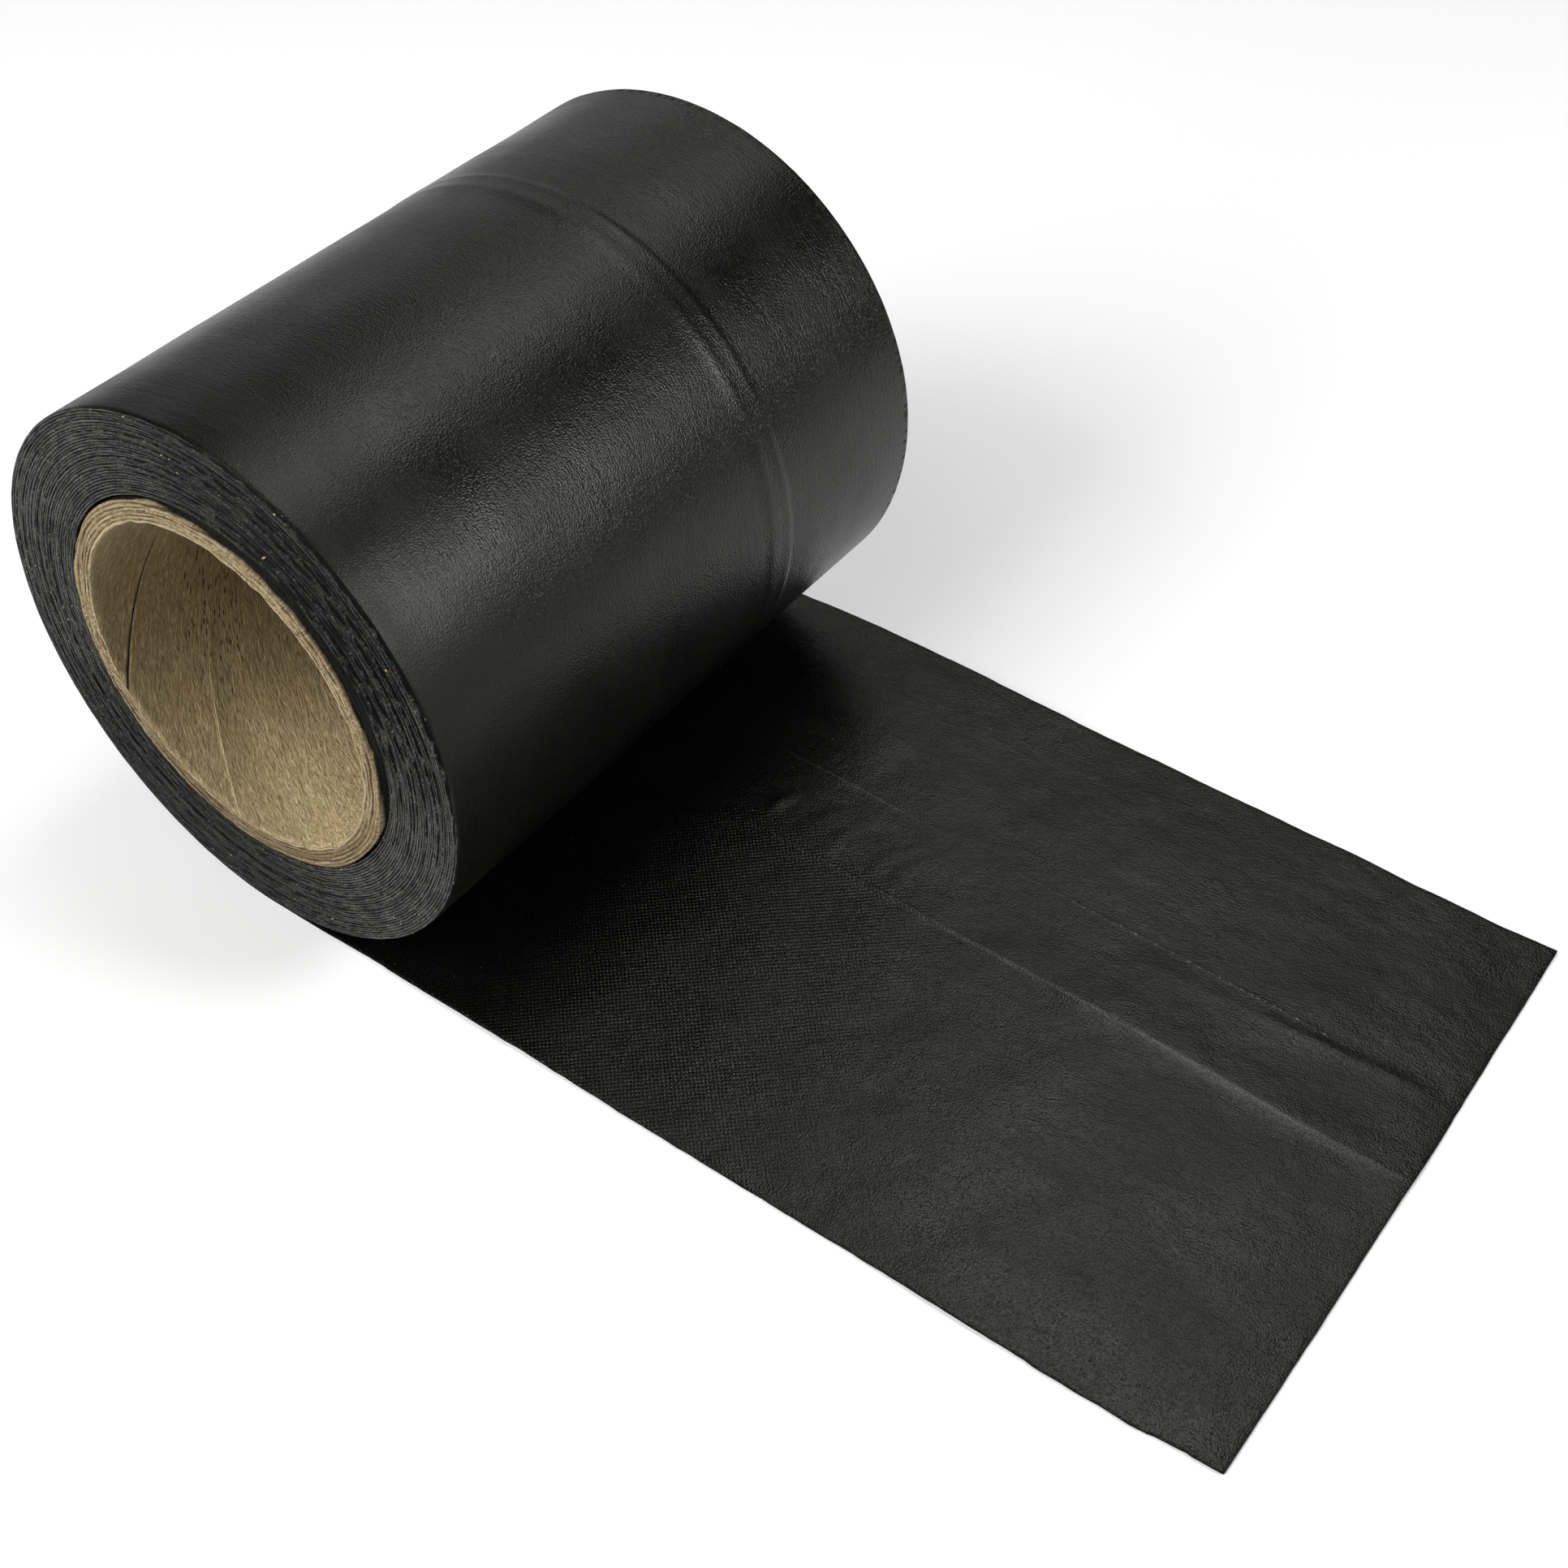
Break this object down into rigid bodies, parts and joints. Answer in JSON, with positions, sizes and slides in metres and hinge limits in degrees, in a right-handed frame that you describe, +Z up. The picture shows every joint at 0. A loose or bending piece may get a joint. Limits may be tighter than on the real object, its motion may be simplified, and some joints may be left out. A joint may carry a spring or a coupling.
{
  "type": "roll of flashing tape",
  "caption": "Roll of wide black flashing tape on a cardboard core, lying on its side with the free end paid out flat in front of it.",
  "frame": {"origin": "centre of the core's bore, half way along it", "axes": "+Y along the core, +X the way the paid-out end runs, +Z up from the floor"},
  "size_m": [0.2966, 0.1558, 0.1253],
  "materials": {
    "tape_rubber": "satin",
    "core_board": "matte"
  },
  "bodies": {
    "root": {"tape": "tape_rubber", "core": "core_board"}
  },
  "joints": []
}
